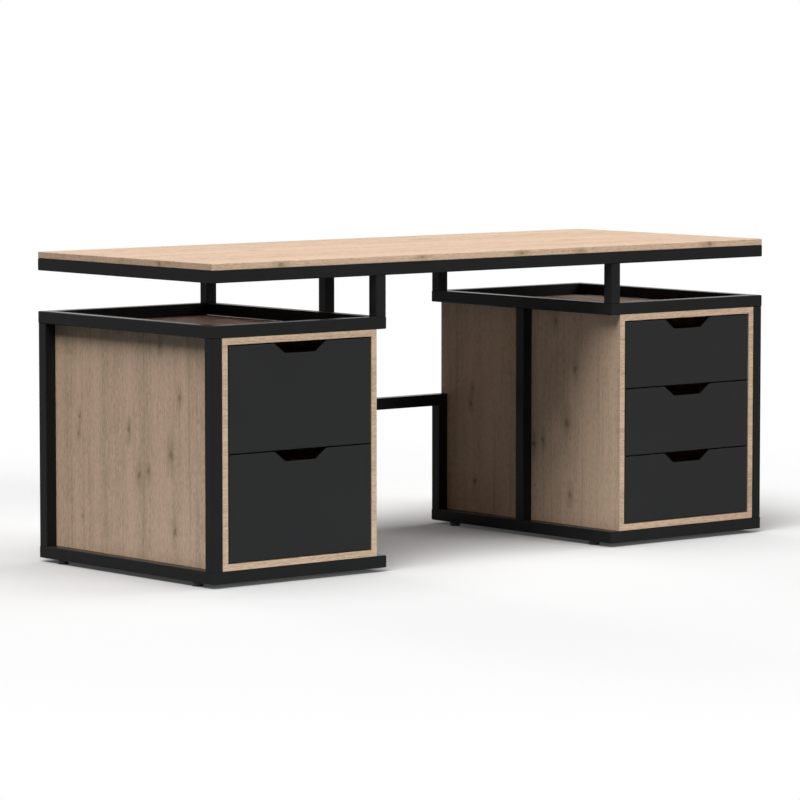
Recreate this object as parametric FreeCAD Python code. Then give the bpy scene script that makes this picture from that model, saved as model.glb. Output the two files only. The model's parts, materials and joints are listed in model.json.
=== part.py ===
"""Executive desk: a long board on a black tube frame, over two drawer pedestals with open trays.

Millimetres. +X runs along the desk, the drawers face -Y, +Z is up, and the origin is on the floor
under the middle of the desk.
"""
import FreeCAD
import Part
import math
import os

V = FreeCAD.Vector
ALONG_X = V(1, 0, 0)
ALONG_Y = V(0, 1, 0)
ALONG_Z = V(0, 0, 1)

# Overall plan
desk_length = 1800.0
desk_depth = 700.0
pedestal_width = 530.0

# Square steel tube of every frame member
tube_size = 30.0
tube_wall = 2.0
tube_easing = 1.6

# Heights of the stacked parts, from the floor up
foot_height = 10.0
cabinet_height = 550.0
standoff_height = 100.0
crossbar_underside = 316.0

# Desktop board
desktop_thickness = 16.0
desktop_easing = 1.0

# Cabinet boards, mitred at the corners
board_thickness = 16.0
back_thickness = 16.0
cabinet_rear_setback = 4.0

# Drawer fronts, with the finger notch in the top edge
front_thickness = 16.0
front_gap = 3.0
front_easing = 0.8
notch_top_width = 158.0
notch_bottom_width = 92.0
notch_depth = 25.0
notch_radius = 9.0

# Drawer boxes behind the fronts
side_thickness = 16.0
side_drop = 45.0
side_lift = 12.0
bottom_thickness = 5.0
bottom_lift = 10.0
groove_depth = 6.0
box_rear_clearance = 50.0

# Telescopic slides: three nested sheet-steel members on each side of a drawer
slide_width = 12.7
slide_height = 45.0
slide_sheet = 1.2
slide_play = 0.4
slide_head_room = 1.8
slide_lip = 3.5
slide_front_setback = 4.0
slide_rear_setback = 8.0

# Glide feet under the side tubes of the base rings
foot_diameter = 28.0
foot_inset = 78.0
foot_easing = 1.5

# Bolts between the frames, and the plates that they screw into
bolt_diameter = 8.0
bolt_head_diameter = 13.0
bolt_head_height = 8.0
bolt_projection = 5.0
bolt_play = 0.4
bolt_seat_gap = 0.1
bolt_access_diameter = 16.0
end_plate_thickness = 5.0

# Tabs inside the top frame, which hold the desktop board
tab_length = 40.0
tab_reach = 28.0
tab_thickness = 3.0
tab_corner = 6.0
tab_hole_diameter = 6.0

# Drawers of each pedestal, from the top down
drawer_rows = {"left": ("upper", "lower"), "right": ("upper", "middle", "lower")}

# Levels of the stack
base_bottom = foot_height
base_top = base_bottom + tube_size
cabinet_top = base_top + cabinet_height
tray_top = cabinet_top + tube_size
frame_bottom = tray_top + standoff_height
frame_top = frame_bottom + tube_size
crossbar_top = crossbar_underside + tube_size

# Plan lines
half_tube = tube_size / 2
half_length = desk_length / 2
front = -desk_depth / 2
rear = desk_depth / 2
front_line = front + half_tube
rear_line = rear - half_tube
outer_line = half_length - half_tube
knee_face = half_length - pedestal_width
inner_line = knee_face + half_tube
cabinet_outer = half_length - tube_size
cabinet_inner = knee_face + tube_size
cabinet_rear = rear - cabinet_rear_setback

# Depths inside a cabinet
front_back_face = front + front_thickness
box_rear = cabinet_rear - back_thickness - box_rear_clearance
slide_front = front_back_face + slide_front_setback
slide_rear = box_rear - slide_rear_setback

CUT_MARGIN = 1.0
SAME_POINT = 1e-6


def sign_of(side):
    """Which way a pedestal lies along X from the middle of the desk."""
    return -1 if side == "left" else 1


def both_sides(distance):
    """The same distance from the middle of the desk on its left and on its right."""
    return (-distance, distance)


def rounded_wire(corners):
    """Closed wire through (point, radius) corners; a corner of radius 0 stays sharp."""
    turns = []
    for index, (point, radius) in enumerate(corners):
        before = (corners[index - 1][0] - point).normalize()
        after = (corners[(index + 1) % len(corners)][0] - point).normalize()
        half_angle = before.getAngle(after) / 2
        reach = radius / math.tan(half_angle)
        inwards = (before + after).normalize()
        middle = point + inwards * (radius / math.sin(half_angle) - radius)
        turns.append((point + before * reach, middle, point + after * reach))
    edges = []
    for index, (start, middle, end) in enumerate(turns):
        if start.distanceToPoint(end) > SAME_POINT:
            edges.append(Part.Arc(start, middle, end).toShape())
        next_start = turns[(index + 1) % len(turns)][0]
        edges.append(Part.LineSegment(end, next_start).toShape())
    return Part.Wire(edges)


def prism(points, run):
    """Solid with the straight-sided outline through the points, drawn out along run."""
    return Part.Face(Part.makePolygon(points + points[:1])).extrude(run)


def block(low, high):
    """Rectangular solid between two opposite corners, given in any order."""
    corner = V(min(low.x, high.x), min(low.y, high.y), min(low.z, high.z))
    size = V(abs(high.x - low.x), abs(high.y - low.y), abs(high.z - low.z))
    return Part.makeBox(size.x, size.y, size.z, corner)


def save(name, solids):
    """Write one node: a single piece, or a group of separate pieces."""
    Part.makeCompound(solids).exportStep(f"parts/{name}.step")


def drilled(solids, holes):
    """The same solids with every hole cut through them."""
    cutter = Part.makeCompound(holes)
    return [solid.cut(cutter).Solids[0] for solid in solids]


def front_arrises(solid):
    """Edges of a solid that lie wholly in the desk's front plane."""
    def lies_there(edge):
        return all(abs(vertex.Point.y - front) < SAME_POINT for vertex in edge.Vertexes)
    return [edge for edge in solid.Edges if lies_there(edge)]


def tube_outline():
    """Outside of the tube's section, a square with eased corners, in the plane across X."""
    near = tube_easing
    far = tube_size - tube_easing
    eased = [(near, 0), (far, 0), (tube_size, near), (tube_size, far)]
    eased += [(far, tube_size), (near, tube_size), (0, far), (0, near)]
    return [V(0, across, up) for across, up in eased]


def mitre_wedge(length, at_end):
    """Waste piece that is sawn off at 45 degrees from one end of a tube of the given length."""
    low = -CUT_MARGIN
    high = tube_size + CUT_MARGIN
    points = [V(low, low, low), V(high, high, low), V(low, high, low)]
    if at_end:
        points = [V(length - point.x, point.y, point.z) for point in points]
    return prism(points, ALONG_Z * (high - low))


def tube(origin, run, inward, length, start_mitre=False, end_mitre=False):
    """Hollow square tube from origin along run; mitres shorten its inward side."""
    bore = block(V(0, tube_wall, tube_wall), V(length, tube_size - tube_wall, tube_size - tube_wall))
    solid = prism(tube_outline(), ALONG_X * length).cut(bore)
    if start_mitre:
        solid = solid.cut(mitre_wedge(length, False))
    if end_mitre:
        solid = solid.cut(mitre_wedge(length, True))
    turn = FreeCAD.Rotation(run, inward, run.cross(inward), "XYZ")
    solid.Placement = FreeCAD.Placement(origin, turn)
    return solid.Solids[0]


def ring(x_low, x_high, level):
    """Four mitred tubes that lie flat round a rectangle as deep as the desk."""
    corners = [V(x_low, front, level), V(x_high, front, level)]
    corners += [V(x_high, rear, level), V(x_low, rear, level)]
    tubes = []
    for index, corner in enumerate(corners):
        path = corners[(index + 1) % len(corners)] - corner
        length = path.Length
        run = path.normalize()
        tubes.append(tube(corner, run, ALONG_Z.cross(run), length, True, True))
    return tubes


def post(x_mid, y_mid, low, high):
    """Upright tube centred on a point of the plan."""
    return tube(V(x_mid - half_tube, y_mid - half_tube, low), ALONG_Z, ALONG_X, high - low)


def upright_hole(diameter, x, y, low, depth):
    """Cutter for a hole through a wall of the given depth, a little longer than the wall at both ends."""
    return Part.makeCylinder(diameter / 2, depth + 2 * CUT_MARGIN, V(x, y, low - CUT_MARGIN))


def bolt_hole(x, y, low, depth=tube_wall):
    return upright_hole(bolt_diameter + 2 * bolt_play, x, y, low, depth)


def access_hole(x, y, low):
    """Hole in the far wall of a tube, which lets a bolt and its key in."""
    return upright_hole(bolt_access_diameter, x, y, low, tube_wall)


def with_end_plate(upright, x, y, end, into):
    """Weld a plate inside one end of an upright, and drill it for a bolt; into points into the tube."""
    half = half_tube - tube_wall
    inner_end = end + into * end_plate_thickness
    plate = block(V(x - half, y - half, end), V(x + half, y + half, inner_end))
    welded = upright.fuse(plate).removeSplitter()
    return drilled([welded], [bolt_hole(x, y, min(end, inner_end), end_plate_thickness)])[0]


def bolt(x, y, seat, into):
    """Cap bolt whose head rests on seat, with its shank pointing along into (+1 up, -1 down)."""
    direction = ALONG_Z * into
    shank_length = tube_wall + end_plate_thickness + bolt_projection
    head = Part.makeCylinder(bolt_head_diameter / 2, bolt_head_height, V(x, y, seat), direction * -1)
    shank = Part.makeCylinder(bolt_diameter / 2, shank_length, V(x, y, seat), direction)
    return head.fuse(shank).removeSplitter().Solids[0]


def desktop_board():
    """Plain board as large as the top frame, with all its arrises eased."""
    board = block(V(-half_length, front, frame_top), V(half_length, rear, frame_top + desktop_thickness))
    return board.makeChamfer(desktop_easing, board.Edges)


def top_bolt_places():
    """Where the top frame is bolted down: on the stand-offs and on the centre post."""
    places = [(x, y) for x in both_sides(inner_line) for y in (front_line, rear_line)]
    return places + [(0.0, rear_line)]


def base_bolt_places():
    """Where the half posts are bolted to the base rings."""
    return [(x, rear_line) for x in both_sides(inner_line)]


def top_frame():
    holes = []
    for x, y in top_bolt_places():
        holes.append(bolt_hole(x, y, frame_bottom))
        holes.append(access_hole(x, y, frame_top - tube_wall))
    return drilled(ring(-half_length, half_length, frame_bottom), holes)


def cross_rails():
    length = desk_depth - 2 * tube_size
    rails = []
    for x in both_sides(inner_line):
        origin = V(x + half_tube, front + tube_size, frame_bottom)
        rails.append(tube(origin, ALONG_Y, ALONG_X * -1, length))
    return rails


def desktop_tab(root, inward):
    """Flat tab welded to a rail at root, reaching inwards under the desktop board."""
    along = ALONG_Z.cross(inward)
    half = along * (tab_length / 2)
    tip_half = along * (tab_length / 2 - tab_corner)
    tip = root + inward * tab_reach
    shoulder = tip - inward * tab_corner
    outline = [root - half, shoulder - half, tip - tip_half, tip + tip_half, shoulder + half, root + half]
    plate = prism(outline, ALONG_Z * tab_thickness)
    centre = root + inward * (tab_reach / 2)
    hole = upright_hole(tab_hole_diameter, centre.x, centre.y, centre.z, tab_thickness)
    return drilled([plate], [hole])[0]


def desktop_tabs():
    level = frame_top - tab_thickness
    over_pedestal = half_length - pedestal_width / 2
    tabs = []
    for x in (-over_pedestal, 0.0, over_pedestal):
        tabs.append(desktop_tab(V(x, front + tube_size, level), ALONG_Y))
        tabs.append(desktop_tab(V(x, rear - tube_size, level), ALONG_Y * -1))
    return tabs


def foot_places():
    xs = both_sides(outer_line) + both_sides(inner_line)
    return [(x, y) for x in xs for y in (front + foot_inset, rear - foot_inset)]


def glide_foot(x, y):
    """Turned glide: a flat disc with an eased lower edge, fixed under the tube."""
    radius = foot_diameter / 2
    profile = [V(0, 0, 0), V(radius - foot_easing, 0, 0), V(radius, 0, foot_easing)]
    profile += [V(radius, 0, foot_height), V(0, 0, foot_height), V(0, 0, 0)]
    foot = Part.Face(Part.makePolygon(profile)).revolve(V(0, 0, 0), ALONG_Z, 360)
    foot.translate(V(x, y, 0))
    return foot


def base_ring(x_low, x_high):
    holes = []
    for x, y in base_bolt_places():
        holes.append(access_hole(x, y, base_bottom))
        holes.append(bolt_hole(x, y, base_top - tube_wall))
    return drilled(ring(x_low, x_high, base_bottom), holes)


def standoffs(x):
    """Short posts between tray ring and top frame, at the front and at the rear."""
    pieces = []
    for y in (front_line, rear_line):
        upright = post(x, y, tray_top, frame_bottom)
        pieces.append(with_end_plate(upright, x, y, frame_bottom, -1))
    return pieces


def crossbar():
    """Rear bar between the cabinets, mitred down onto the half posts."""
    origin = V(-cabinet_inner, rear - tube_size, crossbar_top)
    return tube(origin, ALONG_X, ALONG_Z * -1, 2 * cabinet_inner, True, True)


def half_post(sign):
    """Post under one end of the cross bar, from the base ring up to the mitre."""
    length = crossbar_top - base_top
    y_start = rear - tube_size if sign < 0 else rear
    origin = V(sign * cabinet_inner, y_start, base_top)
    upright = tube(origin, ALONG_Z, ALONG_X * -sign, length, False, True)
    return with_end_plate(upright, sign * inner_line, rear_line, base_top, 1)


def centre_post():
    upright = post(0.0, rear_line, crossbar_top, frame_bottom)
    return with_end_plate(upright, 0.0, rear_line, frame_bottom, -1)


def joint_bolts():
    """Bolts whose heads lie inside the top frame and the base rings, on the painted wall of the tube."""
    seat = tube_wall + bolt_seat_gap
    bolts = [bolt(x, y, frame_bottom + seat, -1) for x, y in top_bolt_places()]
    return bolts + [bolt(x, y, base_top - seat, 1) for x, y in base_bolt_places()]


def carcass_board(corner, next_corner, inwards, next_inwards):
    """One mitred board of a cabinet: corner to corner on the outside, and a thickness in on the inside."""
    points = [corner, next_corner, next_corner + next_inwards, corner + inwards]
    return prism(points, ALONG_Y * (cabinet_rear - front))


def carcass(x_low, x_high):
    """Bottom, right, top and left boards of a cabinet, in that order."""
    t = board_thickness
    corners = [V(x_low, front, base_top), V(x_high, front, base_top)]
    corners += [V(x_high, front, cabinet_top), V(x_low, front, cabinet_top)]
    inwards = [V(t, 0, t), V(-t, 0, t), V(-t, 0, -t), V(t, 0, -t)]
    boards = []
    for index, corner in enumerate(corners):
        following = (index + 1) % len(corners)
        boards.append(carcass_board(corner, corners[following], inwards[index], inwards[following]))
    return boards


def drawer_front(x_low, x_high, z_low, z_high):
    """Front board with a finger notch in the middle of its top edge, and eased front arrises."""
    middle = (x_low + x_high) / 2
    shoulder = notch_top_width / 2
    foot = notch_bottom_width / 2
    notch_low = z_high - notch_depth
    right_edge = [V(x_high, front, z_low), V(x_high, front, z_high)]
    notch = [V(middle + shoulder, front, z_high), V(middle + foot, front, notch_low)]
    notch += [V(middle - foot, front, notch_low), V(middle - shoulder, front, z_high)]
    left_edge = [V(x_low, front, z_high), V(x_low, front, z_low)]
    corners = [(point, 0.0) for point in right_edge]
    corners += [(point, notch_radius) for point in notch]
    corners += [(point, 0.0) for point in left_edge]
    board = Part.Face(rounded_wire(corners)).extrude(ALONG_Y * front_thickness)
    return board.makeChamfer(front_easing, front_arrises(board))


def slide_profiles():
    """Outlines of the three slide members as (distance from the cabinet side, height from the axis)."""
    sheet = slide_sheet
    half = slide_height / 2
    middle_near = sheet + slide_head_room
    hat_near = middle_near + sheet + slide_play
    hat_far = hat_near + sheet
    middle_far = hat_far + slide_play + sheet
    outer_far = middle_far + slide_play + sheet
    middle_half = half - sheet - slide_play
    hat_half = middle_half - sheet - slide_play
    hat_wall = middle_half - slide_lip - slide_play

    def channel(near, far, height):
        lip_edge = height - slide_lip
        upper = [(near, height), (far, height), (far, lip_edge), (far - sheet, lip_edge)]
        upper += [(far - sheet, height - sheet), (near + sheet, height - sheet)]
        return upper + [(depth, -level) for depth, level in reversed(upper)]

    hat_upper = [(slide_width, hat_wall), (hat_far, hat_wall), (hat_far, hat_half), (hat_near, hat_half)]
    hat_upper += [(hat_near, hat_wall - sheet), (slide_width - sheet, hat_wall - sheet)]
    hat = hat_upper + [(depth, -level) for depth, level in reversed(hat_upper)]
    return channel(0.0, outer_far, half), channel(middle_near, middle_far, middle_half), hat


def slide_members(profile, x_low, x_high, axis_height):
    """The same member on both sides of a drawer opening."""
    members = []
    for wall, direction in ((x_low, 1.0), (x_high, -1.0)):
        points = [V(wall + direction * depth, slide_front, axis_height + level) for depth, level in profile]
        members.append(prism(points, ALONG_Y * (slide_rear - slide_front)))
    return members


def drawer(name, x_low, x_high, z_low, z_high):
    """One drawer with its slides; returns the slide members that are fixed to the cabinet."""
    box_low = z_low + side_lift
    box_high = z_high - side_drop
    left_out = x_low + slide_width
    right_out = x_high - slide_width
    left_in = left_out + side_thickness
    right_in = right_out - side_thickness
    back_in = box_rear - side_thickness
    panel_low = box_low + bottom_lift
    panel = block(V(left_in - groove_depth, front_back_face - groove_depth, panel_low),
                  V(right_in + groove_depth, back_in + groove_depth, panel_low + bottom_thickness))
    left_wall = block(V(left_out, front_back_face, box_low), V(left_in, box_rear, box_high))
    right_wall = block(V(right_in, front_back_face, box_low), V(right_out, box_rear, box_high))
    back_wall = block(V(left_in, back_in, box_low), V(right_in, box_rear, box_high))
    front_board = drawer_front(x_low + front_gap, x_high - front_gap, z_low, z_high)
    save(f"{name}_drawer_front", drilled([front_board], [panel]))
    save(f"{name}_drawer_walls", drilled([left_wall, right_wall, back_wall], [panel]))
    save(f"{name}_drawer_bottom", [panel])

    axis_height = (box_low + box_high) / 2
    outer, middle, inner = slide_profiles()
    save(f"{name}_slide_middle", slide_members(middle, x_low, x_high, axis_height))
    save(f"{name}_slide_inner", slide_members(inner, x_low, x_high, axis_height))
    return slide_members(outer, x_low, x_high, axis_height)


def cabinet(side):
    """Mitred carcass with its back, and the drawers that run in it."""
    sign = sign_of(side)
    x_low, x_high = sorted((sign * cabinet_outer, sign * cabinet_inner))
    bottom, right, top, left = carcass(x_low, x_high)
    outer, inner = (left, right) if sign < 0 else (right, left)
    save(f"{side}_cabinet_bottom", [bottom])
    save(f"{side}_cabinet_top", [top])
    save(f"{side}_cabinet_outer_side", [outer])
    save(f"{side}_cabinet_inner_side", [inner])

    open_low = V(x_low + board_thickness, cabinet_rear - back_thickness, base_top + board_thickness)
    open_high = V(x_high - board_thickness, cabinet_rear, cabinet_top - board_thickness)
    save(f"{side}_cabinet_back", [block(open_low, open_high)])

    rows = drawer_rows[side]
    front_height = (open_high.z - open_low.z - front_gap * (len(rows) + 1)) / len(rows)
    fixed_members = []
    for index, row in enumerate(rows):
        z_high = open_high.z - front_gap - index * (front_height + front_gap)
        fixed_members += drawer(f"{side}_{row}", open_low.x, open_high.x, z_high - front_height, z_high)
    save(f"{side}_cabinet_slides", fixed_members)


def pedestal_frame(side):
    """Base ring, tray ring, posts and stand-offs of one pedestal."""
    sign = sign_of(side)
    x_low, x_high = sorted((sign * half_length, sign * knee_face))
    save(f"{side}_base_ring", base_ring(x_low, x_high))
    save(f"{side}_tray_ring", ring(x_low, x_high, cabinet_top))
    save(f"{side}_front_post", [post(sign * outer_line, front_line, base_top, cabinet_top)])
    save(f"{side}_rear_post", [post(sign * outer_line, rear_line, base_top, cabinet_top)])
    save(f"{side}_middle_post", [post(sign * inner_line, 0.0, base_top, cabinet_top)])
    save(f"{side}_standoffs", standoffs(sign * inner_line))
    save(f"{side}_half_post", [half_post(sign)])


os.makedirs("parts", exist_ok=True)
save("desktop_board", [desktop_board()])
save("top_frame", top_frame())
save("top_cross_rails", cross_rails())
save("desktop_tabs", desktop_tabs())
save("rear_crossbar", [crossbar()])
save("centre_post", [centre_post()])
save("joint_bolts", joint_bolts())
save("glide_feet", [glide_foot(x, y) for x, y in foot_places()])
for pedestal in drawer_rows:
    pedestal_frame(pedestal)
    cabinet(pedestal)
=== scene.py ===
"""Looks of the executive desk: its finishes and small fasteners, with the studio and the camera."""
import json
import math

import bpy
from mathutils import Euler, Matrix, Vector


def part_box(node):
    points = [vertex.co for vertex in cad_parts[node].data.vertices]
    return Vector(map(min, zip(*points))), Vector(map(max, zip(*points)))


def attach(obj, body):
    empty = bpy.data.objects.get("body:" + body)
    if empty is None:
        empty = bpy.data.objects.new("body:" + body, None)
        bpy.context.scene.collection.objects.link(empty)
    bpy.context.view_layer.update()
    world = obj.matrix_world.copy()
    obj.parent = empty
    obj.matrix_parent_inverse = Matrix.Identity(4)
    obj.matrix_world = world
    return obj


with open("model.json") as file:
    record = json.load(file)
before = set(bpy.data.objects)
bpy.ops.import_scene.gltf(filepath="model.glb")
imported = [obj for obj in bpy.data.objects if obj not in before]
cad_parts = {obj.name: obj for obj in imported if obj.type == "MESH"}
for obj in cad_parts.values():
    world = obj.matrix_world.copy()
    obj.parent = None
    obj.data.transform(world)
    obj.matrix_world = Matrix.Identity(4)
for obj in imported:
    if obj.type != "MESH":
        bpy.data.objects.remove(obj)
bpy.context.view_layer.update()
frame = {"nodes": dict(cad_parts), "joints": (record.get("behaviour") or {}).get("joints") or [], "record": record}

# Camera, in metres and radians, with its focal length in pixels of the image and its sensor in millimetres
CAMERA_PLACE = (-7.1510, -8.4874, 1.3480)
CAMERA_YAW = -0.69787
CAMERA_PITCH = -0.08762
CAMERA_RANGE = 240.0
FOCAL_PIXELS = 4397.8
IMAGE_PIXELS = 800
SENSOR_WIDTH = 36.0

# Studio light: a softbox with glare on the left, a softbox and two low fills without it, and a faint sky
LAMPS = {
    "left_softbox": {"level": 0.735, "degrees": 38, "from": (-0.475, -0.22, 0.852), "glare": True},
    "right_softbox": {"level": 0.17, "degrees": 40, "from": (0.60, -0.08, 0.80), "glare": False},
    "front_fill": {"level": 0.405, "degrees": 22, "from": (0.33, -0.92, 0.21), "glare": False},
    "rear_fill": {"level": 0.29, "degrees": 12, "from": (0.12, 0.98, 0.11), "glare": False},
}
SKY_LEVEL = 0.03

# Floor as it is seen, in metres from the desk's origin: pale, darkened close to the desk by painted contact shade,
# white far away
BLACK = (0, 0, 0, 1)
FLOOR_COLOUR = (0.96, 0.96, 0.96, 1)
FLOOR_GLOW = (0.095, 0.095, 0.095, 1)
FLOOR_REACH = 60.0
FLOOR_FADE = (1.5, 3.2)
PAINTED_CONTACT_SHADE = 0.56
PAINTED_SHADE_REACH = 0.50

# Floor as it lights the desk, in metres from the desk's origin: a cool patch at the front left
BOUNCE_NEAR = (0.2808, 0.3672, 0.4248, 1)
BOUNCE_FAR = (0.0234, 0.0306, 0.0354, 1)
BOUNCE_CENTRE = (-0.5, -0.7, 0.0)
BOUNCE_FADE = (0.75, 1.35)

# Oak decor, linear colours from the palest wood to the heart of a knot
OAK_PALE = (0.897, 0.628, 0.449, 1)
OAK_OLIVE = (0.570, 0.418, 0.268, 1)
OAK_VEIN = (0.440, 0.312, 0.186, 1)
OAK_PORE = (0.380, 0.258, 0.155, 1)
OAK_HALO = (0.395, 0.282, 0.155, 1)
OAK_HEART = (0.200, 0.130, 0.070, 1)

# Staves of the oak and their growth rings, in metres, or in shares of a stave or of a ring
STAVE_WIDTH = 0.185
STAVE_START = 0.31
PITH_SHARES = (0.2, 0.8)
PITH_DEPTHS = (0.05, 0.10)
PITH_SLOPE = 0.05
RING_SPACING = 0.0062
RING_RIPPLE = 0.5
RING_RISE = (0.20, 0.90)
RING_FALL = (1.0, 0.90)

# Noise of the grain: cells per metre along the grain, across it and through the board, detail, roughness
NOISE_MIDDLE = 0.5
GRAIN_NOISES = {
    "wander": ((1.6, 6, 6), 2.0, 0.5),
    "ripple": ((9, 30, 30), 3.0, 0.5),
    "cloud": ((0.6, 19, 19), 3.0, 0.5),
    "streak": ((2.6, 110, 110), 4.0, 0.75),
    "fleck": ((6, 180, 180), 3.0, 0.6),
    "fibre": ((66, 430, 430), 3.0, 0.7),
    "vein": ((0.8, 56, 56), 3.0, 0.6),
    "pore": ((64, 520, 520), 2.0, 0.6),
}

# Levels of noise between which veins and pores fade in
VEIN_LEVELS = (0.57, 0.74)
PORE_LEVELS = (0.55, 0.66)

# Shares of the grain's marks in its sideways bend, in metres, and in the oak's tone, roughness and relief
BEND_SHARES = {"wander": 0.014, "ripple": 0.0018, "halo": 0.005}
TONE_LEVEL = 0.23
TONE_SHARES = {"cloud": 1.5, "streak": 0.4, "fleck": 1.25, "fibre": 3.0, "ring": 0.1, "cloudy_ring": 0.6,
               "stave_luck": 0.14}
OAK_ROUGHNESS = 0.54
ROUGHNESS_SHARES = {"fibre": 0.16, "pore": 0.18}
RELIEF_SHARES = {"fibre": 0.5, "ring": 0.1, "pore": -1.0}
RELIEF_DEPTH = 0.0001

# Share of the palest colour in the oak of the drawer boxes
DRAWER_PALENESS = 0.35

# Strength of the darker colours, with what fibres and streaks add to it, and the most that knots may have
VEIN_STRENGTH = 0.40
VEIN_FIBRE = 0.8
PORE_STRENGTH = 0.42
HALO_STRENGTH = 0.54
HALO_STREAK = 1.8
HALO_MOST = 0.56
HEART_STRENGTH = 0.6
HEART_MOST = 0.55

# Form of a knot: each spot reaches radius / share along and across the grain, and fades in from its rim
KNOT_HEART = {"along": 0.62, "across": 1.0, "fade": (1.0, 0.1)}
KNOT_HALO = {"along": 0.15, "across": 0.36, "fade": (1.0, 0.0)}

# Ragged rims of the knots: noise cells per metre, detail, and reach in metres along, across and through
RAGGED_CELLS = 55.0
RAGGED_DETAIL = 3.0
RAGGED_REACH = (0.030, 0.014, 0)

# Knots as (along the grain, across it, through the board, radius), in metres from the desk's origin
PANEL_KNOTS = (
    (0.442, -0.184, 0, 0.0075), (0.301, -0.149, 0, 0.0120), (0.241, -0.021, 0, 0.0085),
    (0.253, -0.059, 0, 0.0070), (0.117, -0.163, 0, 0.0080), (0.349, 0.019, 0, 0.0085),
    (0.327, 0.225, 0, 0.0065), (0.369, 0.221, 0, 0.0055), (0.560, -0.105, 0, 0.0075),
    (0.122, 0.210, 0, 0.0045))
DESKTOP_KNOTS = (
    (-0.694, -0.352, 0.757, 0.0070), (-0.257, -0.351, 0.759, 0.0055), (0.066, -0.352, 0.758, 0.0070),
    (0.261, -0.350, 0.757, 0.0055), (0.709, -0.351, 0.759, 0.0075), (-0.902, -0.144, 0.758, 0.0060),
    (-0.455, 0.060, 0.766, 0.0085), (-0.130, -0.185, 0.766, 0.0060), (0.215, 0.205, 0.766, 0.0090),
    (0.480, -0.060, 0.766, 0.0070), (0.760, 0.150, 0.766, 0.0080), (-0.720, 0.255, 0.766, 0.0060))

# Other finishes: the two linear colours that each varies between
POWDER_COAT_TONES = ((0.0187, 0.0187, 0.0189, 1), (0.0237, 0.0235, 0.0232, 1))
CHARCOAL_TONES = ((0.0240, 0.0240, 0.0243, 1), (0.0285, 0.0283, 0.0280, 1))
EDGE_BAND_BLACK = (0.004, 0.004, 0.004, 1)
FOOT_PLASTIC_TONES = ((0.006, 0.006, 0.006, 1), (0.014, 0.014, 0.014, 1))
ZINC_TONES = ((0.50, 0.52, 0.55, 1), (0.66, 0.66, 0.64, 1))

# Noise of the other finishes: cells per metre along the three axes, detail, roughness
COAT_PEEL = ((900, 900, 900), 2.0, 0.5)
COAT_PATCH = ((14, 14, 14), 3.0, 0.5)
CHARCOAL_PEARL = ((620, 620, 620), 3.0, 0.6)
CHARCOAL_PATCH = ((9, 9, 9), 3.0, 0.5)
FOOT_GRAIN = ((1500, 1500, 1500), 3.0, 0.6)
ZINC_DRAWN = ((900, 6, 900), 3.0, 0.6)
ZINC_CLOUD = ((30, 12, 30), 3.0, 0.5)

# What the small fasteners sit on, and where, in metres or in shares of a drawer wall's height
SLIDE_SHEET = 0.0012
SLIDE_SCREW_SETBACKS = (0.037, 0.261, 0.549)
TAB_REACH = 0.028
TAB_LENGTH = 0.040
WALL_THICKNESS = 0.016
WALL_FITTING_SHARES = (0.28, 0.72)
CAM_SETBACK = 0.034

# Heads of the small fasteners, in metres, with the share of the width that their tops and slots take
HEAD_SIDES = 24
SLOT_SHARE = 0.55
HEAD_SIZES = ("Head Diameter", "Head Height", "Top Share", "Slot Width", "Slot Depth")
FASTENERS = {
    "low_slide_screw": (0.0068, 0.0013, 0.80, 0.0009, 0.0008),
    "slide_screw": (0.0072, 0.0022, 0.72, 0.0010, 0.0014),
    "tab_screw": (0.0100, 0.0030, 0.74, 0.0013, 0.0018),
    "cam_fitting": (0.0150, 0.0006, 0.96, 0.0020, 0.0005),
    "corner_screw": (0.0095, 0.0008, 0.85, 0.0014, 0.0006),
}

# Ways that the head of a small fastener may face
LEFTWARDS = (-1, 0, 0)
RIGHTWARDS = (1, 0, 0)
DOWNWARDS = (0, 0, -1)

# Sockets of a Mix node that mixes colours: several share a name, so they go by number
MIX_FACTOR, MIX_FIRST, MIX_SECOND, MIX_RESULT = 0, 6, 7, 2


class Signal:
    """An output socket that takes part in Python arithmetic: each operation adds a Math node."""

    def __init__(self, graph, socket):
        self.graph = graph
        self.socket = socket

    def output(self, name):
        """Another output of the same node."""
        return Signal(self.graph, self.socket.node.outputs[name])


def overload(name, operation):
    """Give Signal one arithmetic operator and its reflected form."""
    def forward(self, other):
        return self.graph.math(operation, self, other)

    def reflected(self, other):
        return self.graph.math(operation, other, self)

    setattr(Signal, f"__{name}__", forward)
    setattr(Signal, f"__r{name}__", reflected)


OPERATORS = {"add": "ADD", "sub": "SUBTRACT", "mul": "MULTIPLY", "truediv": "DIVIDE"}
for operator, math_operation in OPERATORS.items():
    overload(operator, math_operation)


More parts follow.
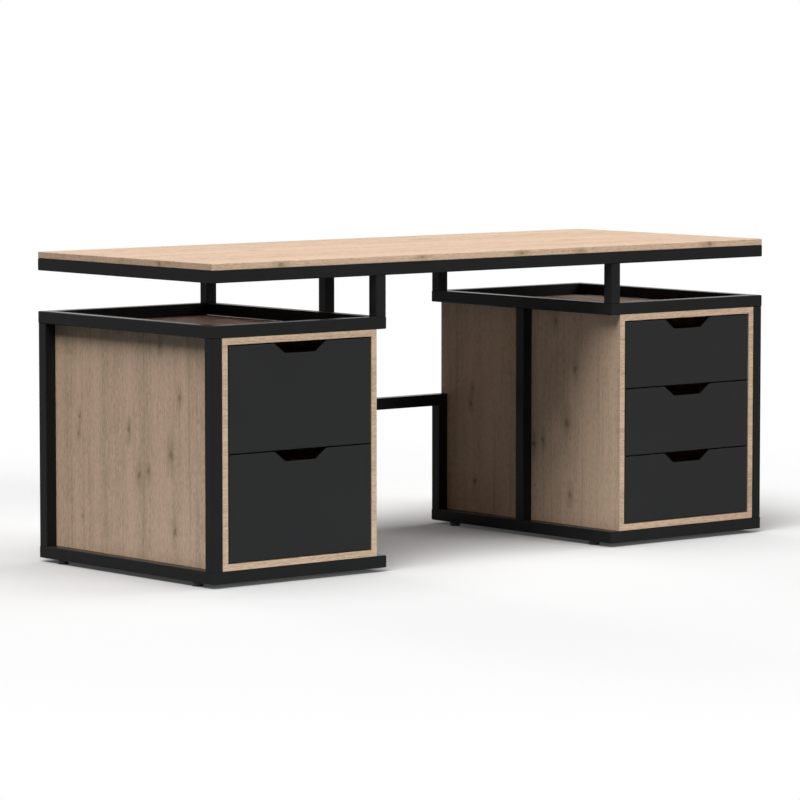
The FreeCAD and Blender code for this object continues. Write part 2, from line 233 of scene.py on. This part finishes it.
class Graph:
    """A node tree that is written as expressions."""

    def __init__(self, tree):
        self.tree = tree
        tree.nodes.clear()

    def add(self, kind, settings=None, inputs=None, output=0):
        """Add a node, set it, then feed its sockets with values or signals; an end node gives no signal."""
        node = self.tree.nodes.new(kind)
        for name, value in (settings or {}).items():
            setattr(node, name, value)
        for name, value in (inputs or {}).items():
            if isinstance(value, Signal):
                self.tree.links.new(value.socket, node.inputs[name])
            else:
                node.inputs[name].default_value = value
        return Signal(self, node.outputs[output]) if node.outputs else None

    def math(self, operation, *values):
        return self.add("ShaderNodeMath", {"operation": operation}, dict(enumerate(values)))

    def vector(self, operation, *values, output=0):
        return self.add("ShaderNodeVectorMath", {"operation": operation}, dict(enumerate(values)), output)

    def length(self, vector):
        return self.vector("LENGTH", vector, output="Value")

    def point(self, x, y, z):
        return self.add("ShaderNodeCombineXYZ", {}, {"X": x, "Y": y, "Z": z})

    def parts(self, vector):
        """A signal with outputs X, Y and Z."""
        return self.add("ShaderNodeSeparateXYZ", {}, {"Vector": vector})

    def step(self, value, low, high):
        """Smooth rise from 0 at low to 1 at high."""
        limits = {"Value": value, "From Min": low, "From Max": high}
        return self.add("ShaderNodeMapRange", {"interpolation_type": "SMOOTHSTEP"}, limits)

    def noise(self, place, cells, detail, roughness):
        """Noise about 0.5, with so many cells per metre along each of the three axes."""
        stretched = self.vector("MULTIPLY", place, cells)
        return self.add("ShaderNodeTexNoise", {}, {
            "Vector": stretched, "Scale": 1.0, "Detail": detail, "Roughness": roughness})

    def blend(self, factor, first, second):
        """Colour between two colours, at a factor that the node keeps from 0 to 1."""
        sockets = {MIX_FACTOR: factor, MIX_FIRST: first, MIX_SECOND: second}
        return self.add("ShaderNodeMix", {"data_type": "RGBA"}, sockets, MIX_RESULT)

    def bump(self, height, distance, strength):
        return self.add("ShaderNodeBump", {}, {"Height": height, "Distance": distance, "Strength": strength})

    def principled(self, **sockets):
        """A Principled shader; an underscore stands for the space in a socket's name."""
        inputs = {name.replace("_", " "): value for name, value in sockets.items()}
        return self.add("ShaderNodeBsdfPrincipled", {}, inputs)

    def surface(self, shader):
        """End a material in a shader."""
        self.add("ShaderNodeOutputMaterial", {}, {"Surface": shader})


def between(limits, share):
    """The value at a share of the way from one limit to the other."""
    first, last = limits
    return first + share * (last - first)


def weighed(level, shares, marks):
    """A level plus each mark times its share."""
    return sum((marks[name] * share for name, share in shares.items()), level)


def swayed(level, *noises):
    """A level that noises sway; each comes with the width of its swing."""
    return sum(((noise - NOISE_MIDDLE) * swing for noise, swing in noises), level)


def material_graph(name):
    """A new material and its empty graph."""
    material = bpy.data.materials.new(name)
    material.use_nodes = True
    return material, Graph(material.node_tree)


def object_place(graph):
    return graph.add("ShaderNodeTexCoord", output="Object")


def faces_depthwise(graph):
    """1 on faces that look to the front or the rear, 0 on the others."""
    normal = graph.add("ShaderNodeNewGeometry", output="True Normal")
    depthwise = graph.math("ABSOLUTE", graph.parts(normal).output("Y"))
    return graph.math("ROUND", depthwise)


def board_place(graph, axes, edge_axes=None):
    """Place on a board as (along the grain, across it, through it), from a word such as XYZ.

    Faces to the front and the rear may follow a word of their own.
    """
    parts = graph.parts(object_place(graph))
    if edge_axes is None:
        return [parts.output(axis) for axis in axes]
    edge = faces_depthwise(graph)
    return [between((parts.output(face), parts.output(end)), edge) for face, end in zip(axes, edge_axes)]


def knot_spot(graph, offset, radius, depth, form):
    """1 in the middle of a knot's spot and 0 from its rim on; at depth 0 it goes through the board."""
    along, across = form["along"] / radius, form["across"] / radius
    stretched = graph.vector("MULTIPLY", offset, (along, across, across * depth))
    return graph.step(graph.length(stretched), *form["fade"])


def knot_marks(graph, place, knots, depth):
    """Dark hearts of the knots, and the wide stained halos along the grain about them."""
    noise = graph.add("ShaderNodeTexNoise", {}, {
        "Vector": place, "Scale": RAGGED_CELLS, "Detail": RAGGED_DETAIL}, "Color")
    ragged = graph.vector("SUBTRACT", noise, (NOISE_MIDDLE, NOISE_MIDDLE, NOISE_MIDDLE))
    place = graph.vector("ADD", place, graph.vector("MULTIPLY", ragged, RAGGED_REACH))
    heart = halo = 0.0
    for *centre, radius in knots:
        offset = graph.vector("SUBTRACT", place, centre)
        heart = heart + knot_spot(graph, offset, radius, depth, KNOT_HEART)
        halo = halo + knot_spot(graph, offset, radius, depth, KNOT_HALO)
    return heart, halo


def growth_rings(graph, along, across, through, stave, luck, ripple):
    """Late wood of the rings about a pith that runs, slightly sloping, below each stave."""
    aside = across - (stave + between(PITH_SHARES, luck)) * STAVE_WIDTH
    below = between(PITH_DEPTHS, luck) + along * PITH_SLOPE + through
    radius = graph.math("SQRT", aside * aside + below * below)
    turn = graph.math("FRACT", radius / RING_SPACING + ripple * RING_RIPPLE)
    return graph.step(turn, *RING_RISE) * graph.step(turn, *RING_FALL)


def grain_marks(graph, along, across, through, knots, knot_depth):
    """The marks of straight-grained oak, by name."""
    place = graph.point(along, across, through)
    stave = graph.math("FLOOR", across / STAVE_WIDTH + STAVE_START)
    luck = graph.add("ShaderNodeTexWhiteNoise", {"noise_dimensions": "1D"}, {"W": stave})
    marks = {"stave_luck": luck - NOISE_MIDDLE, "heart": 0.0, "halo": 0.0}
    if knots:
        marks["heart"], marks["halo"] = knot_marks(graph, place, knots, knot_depth)
    for name in ("wander", "ripple"):
        marks[name] = graph.noise(place, *GRAIN_NOISES[name]) - NOISE_MIDDLE

    bent = weighed(across, BEND_SHARES, marks)
    grain = graph.point(along, bent, through)
    for name in ("cloud", "streak", "fleck", "fibre"):
        marks[name] = graph.noise(grain, *GRAIN_NOISES[name]) - NOISE_MIDDLE
    for name, levels in (("vein", VEIN_LEVELS), ("pore", PORE_LEVELS)):
        marks[name] = graph.step(graph.noise(grain, *GRAIN_NOISES[name]), *levels)
    marks["ring"] = growth_rings(graph, along, bent, through, stave, luck, marks["ripple"])
    marks["cloudy_ring"] = marks["ring"] * marks["cloud"]
    return marks


def knot_stained(graph, colour, marks):
    """The colour of the wood with the halos and hearts of its knots."""
    halo = marks["halo"] * (HALO_STRENGTH + marks["streak"] * HALO_STREAK)
    colour = graph.blend(graph.math("MINIMUM", halo, HALO_MOST), colour, OAK_HALO)
    return graph.blend(graph.math("MINIMUM", marks["heart"] * HEART_STRENGTH, HEART_MOST), colour, OAK_HEART)


def oak_wood(graph, place, knots=(), knot_depth=0.0):
    """Colour, roughness and relief of straight-grained oak."""
    marks = grain_marks(graph, *place, knots, knot_depth)
    colour = graph.blend(weighed(TONE_LEVEL, TONE_SHARES, marks), OAK_PALE, OAK_OLIVE)
    colour = graph.blend(marks["vein"] * (VEIN_STRENGTH + marks["fibre"] * VEIN_FIBRE), colour, OAK_VEIN)
    colour = graph.blend(marks["pore"] * PORE_STRENGTH, colour, OAK_PORE)
    if knots:
        colour = knot_stained(graph, colour, marks)
    roughness = weighed(OAK_ROUGHNESS, ROUGHNESS_SHARES, marks)
    relief = weighed(0.0, RELIEF_SHARES, marks)
    return colour, roughness, relief


def oak_material(name, axes, edge_axes=None, knots=(), knot_depth=0.0):
    """Oak decor with its grain along the first of the three axes."""
    material, graph = material_graph(name)
    colour, roughness, relief = oak_wood(graph, board_place(graph, axes, edge_axes), knots, knot_depth)
    graph.surface(graph.principled(
        Base_Color=colour, Roughness=roughness, Specular_IOR_Level=0.18,
        Normal=graph.bump(relief, distance=RELIEF_DEPTH, strength=0.35)))
    return material


def drawer_board_material(name):
    """Pale oak melamine of the drawer boxes, with its grain along each wall."""
    material, graph = material_graph(name)
    colour, roughness, relief = oak_wood(graph, board_place(graph, "YZX", "XZY"))
    graph.surface(graph.principled(
        Base_Color=graph.blend(DRAWER_PALENESS, colour, OAK_PALE), Roughness=roughness,
        Specular_IOR_Level=0.35, Normal=graph.bump(relief, distance=RELIEF_DEPTH, strength=0.2)))
    return material


def powder_coat_material(name):
    """Matte black powder coat with a fine orange-peel skin."""
    material, graph = material_graph(name)
    place = object_place(graph)
    peel = graph.noise(place, *COAT_PEEL)
    patch = graph.noise(place, *COAT_PATCH)
    graph.surface(graph.principled(
        Base_Color=graph.blend(patch, *POWDER_COAT_TONES),
        Roughness=swayed(0.26, (patch, 0.08), (peel, 0.08)), Specular_IOR_Level=0.045,
        Normal=graph.bump(peel, distance=0.00012, strength=0.30)))
    return material


def charcoal_material(name):
    """Charcoal melamine of the drawer fronts: fine pearl texture on a dense dark grey, black edge bands."""
    material, graph = material_graph(name)
    place = object_place(graph)
    pearl = graph.noise(place, *CHARCOAL_PEARL)
    face = graph.blend(graph.noise(place, *CHARCOAL_PATCH), *CHARCOAL_TONES)
    graph.surface(graph.principled(
        Base_Color=graph.blend(faces_depthwise(graph), EDGE_BAND_BLACK, face),
        Roughness=swayed(0.52, (pearl, 0.16)), Specular_IOR_Level=0.10,
        Normal=graph.bump(pearl, distance=0.00010, strength=0.35)))
    return material


def foot_plastic_material(name):
    """Black moulded plastic with a fine spark-eroded grain."""
    material, graph = material_graph(name)
    grain = graph.noise(object_place(graph), *FOOT_GRAIN)
    graph.surface(graph.principled(
        Base_Color=graph.blend(grain, *FOOT_PLASTIC_TONES), Roughness=swayed(0.50, (grain, 0.25)),
        Specular_IOR_Level=0.35, Normal=graph.bump(grain, distance=0.00008, strength=0.4)))
    return material


def zinc_material(name):
    """Zinc-plated sheet steel, drawn along the depth of the desk, with faint cloudy passivation."""
    material, graph = material_graph(name)
    place = object_place(graph)
    drawn = graph.noise(place, *ZINC_DRAWN)
    cloud = graph.noise(place, *ZINC_CLOUD)
    graph.surface(graph.principled(
        Base_Color=graph.blend(cloud, *ZINC_TONES), Metallic=1.0,
        Roughness=swayed(0.30, (drawn, 0.22), (cloud, 0.12)),
        Normal=graph.bump(drawn, distance=0.00003, strength=0.25)))
    return material


def dress_frame():
    """Give every node of the frame its finish, and return the finishes by slot."""
    finishes = {
        "oak_decor": oak_material("oak_level_boards", "XYZ"),
        "black_steel": powder_coat_material("black_powder_coat"),
        "charcoal_board": charcoal_material("charcoal_melamine"),
        "drawer_board": drawer_board_material("drawer_box_oak"),
        "foot_plastic": foot_plastic_material("black_foot_plastic"),
        "zinc_steel": zinc_material("zinc_plated_steel"),
    }
    upright_oak = oak_material("oak_upright_boards", "ZYX", "XZY", knots=PANEL_KNOTS)
    own_finishes = {"desktop_board": oak_material("oak_desktop", "XYZ", knots=DESKTOP_KNOTS, knot_depth=1.0)}
    for side in ("left", "right"):
        own_finishes[f"{side}_cabinet_outer_side"] = upright_oak
        own_finishes[f"{side}_cabinet_inner_side"] = upright_oak
        own_finishes[f"{side}_cabinet_back"] = oak_material(f"oak_{side}_back", "ZXY")
    for subpart in frame["record"]["subparts"]:
        materials = frame["nodes"][subpart["node"]].data.materials
        materials.clear()
        materials.append(own_finishes.get(subpart["node"], finishes[subpart["material_slot"]]))
    return finishes


def fastener_tree():
    """Geometry nodes that set a cross-slotted head on every point, along the point's facing."""
    tree = bpy.data.node_groups.new("cross_slotted_heads", "GeometryNodeTree")
    tree.interface.new_socket("Places", in_out="INPUT", socket_type="NodeSocketGeometry")
    for name in HEAD_SIZES:
        tree.interface.new_socket(name, in_out="INPUT", socket_type="NodeSocketFloat")
    tree.interface.new_socket("Finish", in_out="INPUT", socket_type="NodeSocketMaterial")
    tree.interface.new_socket("Heads", in_out="OUTPUT", socket_type="NodeSocketGeometry")

    graph = Graph(tree)
    given = graph.add("NodeGroupInput")
    diameter, height, top_share, slot_width, slot_depth = (given.output(name) for name in HEAD_SIZES)
    head = graph.add("GeometryNodeMeshCone", {}, {
        "Vertices": HEAD_SIDES, "Radius Bottom": diameter / 2, "Radius Top": diameter / 2 * top_share,
        "Depth": height})
    slot_length = diameter * SLOT_SHARE
    on_top = graph.point(0, 0, height)
    for length, width in ((slot_length, slot_width), (slot_width, slot_length)):
        bar = graph.add("GeometryNodeMeshCube", {}, {"Size": graph.point(length, width, slot_depth * 2)})
        raised = graph.add("GeometryNodeTransform", {}, {"Geometry": bar, "Translation": on_top})
        meshes = {"Mesh 1": head, "Mesh 2": raised}
        head = graph.add("GeometryNodeMeshBoolean", {"operation": "DIFFERENCE"}, meshes)

    facing = graph.add("GeometryNodeInputNamedAttribute", {"data_type": "FLOAT_VECTOR"}, {"Name": "facing"})
    turn = graph.add("FunctionNodeAlignRotationToVector", {"axis": "Z"}, {"Vector": facing})
    placed = graph.add("GeometryNodeInstanceOnPoints", {}, {
        "Points": given.output("Places"), "Instance": head, "Rotation": turn})
    real = graph.add("GeometryNodeRealizeInstances", {}, {"Geometry": placed})
    done = graph.add("GeometryNodeSetMaterial", {}, {"Geometry": real, "Material": given.output("Finish")})
    graph.add("NodeGroupOutput", {}, {"Heads": done})
    return tree


def set_fasteners(tree, kind, body, places, finish):
    """One mesh of like fasteners that rides on one body; places are (point, facing) pairs."""
    points = bpy.data.meshes.new(f"{body}_{kind}_places")
    points.from_pydata([point for point, _ in places], [], [])
    facing = points.attributes.new("facing", "FLOAT_VECTOR", "POINT")
    for datum, (_, direction) in zip(facing.data, places):
        datum.vector = direction
    host = bpy.data.objects.new(f"{body}_{kind}_host", points)
    bpy.context.scene.collection.objects.link(host)
    modifier = host.modifiers.new("heads", "NODES")
    modifier.node_group = tree
    values = dict(zip(HEAD_SIZES, FASTENERS[kind]), Finish=finish)
    for item in tree.interface.items_tree:
        if item.in_out == "INPUT" and item.name in values:
            modifier[item.identifier] = values[item.name]
    evaluated = host.evaluated_get(bpy.context.evaluated_depsgraph_get())
    mesh = bpy.data.meshes.new_from_object(evaluated)
    bpy.data.objects.remove(host)
    piece = bpy.data.objects.new(f"{body}_{kind}s", mesh)
    bpy.context.scene.collection.objects.link(piece)
    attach(piece, body)


def wall_pair(box, inset, y, z, inwards):
    """The same place at the left and the right of a box, each facing into the box or out of it."""
    low, high = box
    left, right = (RIGHTWARDS, LEFTWARDS) if inwards else (LEFTWARDS, RIGHTWARDS)
    return [((low.x + inset, y, z), left), ((high.x - inset, y, z), right)]


def middle_height(node):
    low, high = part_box(node)
    return (low.z + high.z) / 2


def fitting_heights(walls):
    low, high = walls
    return [between((low.z, high.z), share) for share in WALL_FITTING_SHARES]


def cabinet_slide_places(drawers):
    """Screws that hold the outer slide members to the cabinet sides, beside the middle members."""
    places = []
    for side, name in drawers:
        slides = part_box(f"{side}_cabinet_slides")
        height = middle_height(f"{name}_slide_middle")
        for setback in SLIDE_SCREW_SETBACKS:
            places += wall_pair(slides, SLIDE_SHEET, slides[0].y + setback, height, inwards=True)
    return places


def drawer_slide_places(name):
    """Screws that hold the inner slide members to the drawer's sides, on the web of each member."""
    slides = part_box(f"{name}_slide_inner")
    web_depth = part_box(f"{name}_drawer_walls")[0].x - SLIDE_SHEET - slides[0].x
    height = middle_height(f"{name}_slide_inner")
    places = []
    for setback in SLIDE_SCREW_SETBACKS:
        places += wall_pair(slides, web_depth, slides[0].y + setback, height, inwards=False)
    return places


def cam_places(name):
    """Cam fittings that draw the drawer's front to its sides, inside the box."""
    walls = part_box(f"{name}_drawer_walls")
    places = []
    for height in fitting_heights(walls):
        places += wall_pair(walls, WALL_THICKNESS, walls[0].y + CAM_SETBACK, height, inwards=True)
    return places


def corner_places(name):
    """Screws through the drawer's sides into its back."""
    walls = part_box(f"{name}_drawer_walls")
    places = []
    for height in fitting_heights(walls):
        places += wall_pair(walls, 0, walls[1].y - WALL_THICKNESS / 2, height, inwards=False)
    return places


def tab_places():
    """Screws that go up through the tabs into the desktop board."""
    low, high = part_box("desktop_tabs")
    along = (low.x + TAB_LENGTH / 2, (low.x + high.x) / 2, high.x - TAB_LENGTH / 2)
    across = (low.y + TAB_REACH / 2, high.y - TAB_REACH / 2)
    return [((x, y, low.z), DOWNWARDS) for x in along for y in across]


def fit_fasteners(finish):
    """Screws and fittings of the frame and of every drawer."""
    tree = fastener_tree()
    drawers = []
    for joint in frame["joints"]:
        if joint["name"].endswith("_drawer_slide"):
            name = joint["name"].removesuffix("_drawer_slide")
            drawers.append((name.split("_")[0], name))
    set_fasteners(tree, "low_slide_screw", "desk_frame", cabinet_slide_places(drawers), finish)
    set_fasteners(tree, "tab_screw", "desk_frame", tab_places(), finish)
    for _, name in drawers:
        body = f"{name}_drawer"
        set_fasteners(tree, "slide_screw", body, drawer_slide_places(name), finish)
        set_fasteners(tree, "cam_fitting", body, cam_places(name), finish)
        set_fasteners(tree, "corner_screw", body, corner_places(name), finish)


def seen_directly(graph):
    """1 for camera, glossy and transmission rays, and 0 for the rays that light the desk."""
    path = graph.add("ShaderNodeLightPath", output="Is Camera Ray")
    glossy = graph.math("MAXIMUM", path, path.output("Is Glossy Ray"))
    return graph.math("MAXIMUM", glossy, path.output("Is Transmission Ray"))


def floor_material(name):
    """Pale floor that keeps the desk's shadow, with painted contact shade near the desk, and runs out into the
    white background.
    """
    material, graph = material_graph(name)
    place = object_place(graph)
    seen = seen_directly(graph)
    # Painted contact shade: ambient occlusion darkens the floor's colour and glow close to the desk
    openness = graph.add("ShaderNodeAmbientOcclusion", {}, {"Distance": PAINTED_SHADE_REACH}, "AO")
    shade = 1 - PAINTED_CONTACT_SHADE * (1 - openness)
    spot = graph.vector("DISTANCE", place, BOUNCE_CENTRE, output="Value")
    bounce = graph.blend(graph.step(spot, *BOUNCE_FADE), BOUNCE_NEAR, BOUNCE_FAR)
    near = graph.principled(
        Base_Color=graph.blend(seen, bounce, graph.blend(shade, BLACK, FLOOR_COLOUR)),
        Roughness=1.0, Specular_IOR_Level=0.0,
        Emission_Color=graph.blend(seen * shade, BLACK, FLOOR_GLOW), Emission_Strength=1.0)
    white = graph.add("ShaderNodeEmission", {}, {"Strength": 1.0})
    away = graph.step(graph.length(place), *FLOOR_FADE) * seen
    graph.surface(graph.add("ShaderNodeMixShader", {}, {0: away, 1: near, 2: white}))
    return material


def lay_floor():
    """One wide square under the desk."""
    far = FLOOR_REACH
    mesh = bpy.data.meshes.new("studio_floor")
    mesh.from_pydata([(-far, -far, 0), (far, -far, 0), (far, far, 0), (-far, far, 0)], [], [(0, 1, 2, 3)])
    mesh.materials.append(floor_material("pale_floor"))
    floor = bpy.data.objects.new("studio_floor", mesh)
    bpy.context.scene.collection.objects.link(floor)


def light_studio():
    """Even sky that looks white, and the soft lamps."""
    world = bpy.data.worlds.new("studio_sky")
    world.use_nodes = True
    bpy.context.scene.world = world
    graph = Graph(world.node_tree)
    level = between((SKY_LEVEL, 1), seen_directly(graph))
    sky = graph.add("ShaderNodeBackground", {}, {"Color": (1, 1, 1, 1), "Strength": level})
    graph.add("ShaderNodeOutputWorld", {}, {"Surface": sky})

    for name, rig in LAMPS.items():
        lamp = bpy.data.lights.new(name, "SUN")
        lamp.energy = rig["level"] * math.pi
        lamp.angle = math.radians(rig["degrees"])
        holder = bpy.data.objects.new(name, lamp)
        holder.rotation_euler = Vector(rig["from"]).to_track_quat("Z", "Y").to_euler()
        holder.visible_glossy = rig["glare"]
        bpy.context.scene.collection.objects.link(holder)


def set_camera():
    """Camera at the photograph's place and angle."""
    lens = bpy.data.cameras.new("photo_camera")
    lens.sensor_width = SENSOR_WIDTH
    lens.lens = FOCAL_PIXELS / IMAGE_PIXELS * SENSOR_WIDTH
    lens.clip_end = CAMERA_RANGE
    camera = bpy.data.objects.new("photo_camera", lens)
    camera.location = CAMERA_PLACE
    camera.rotation_euler = Euler((math.pi / 2 + CAMERA_PITCH, 0, CAMERA_YAW))
    bpy.context.scene.collection.objects.link(camera)
    bpy.context.scene.camera = camera


finishes = dress_frame()
fit_fasteners(finishes["zinc_steel"])
lay_floor()
light_studio()
set_camera()
bpy.context.scene.view_settings.view_transform = "Standard"
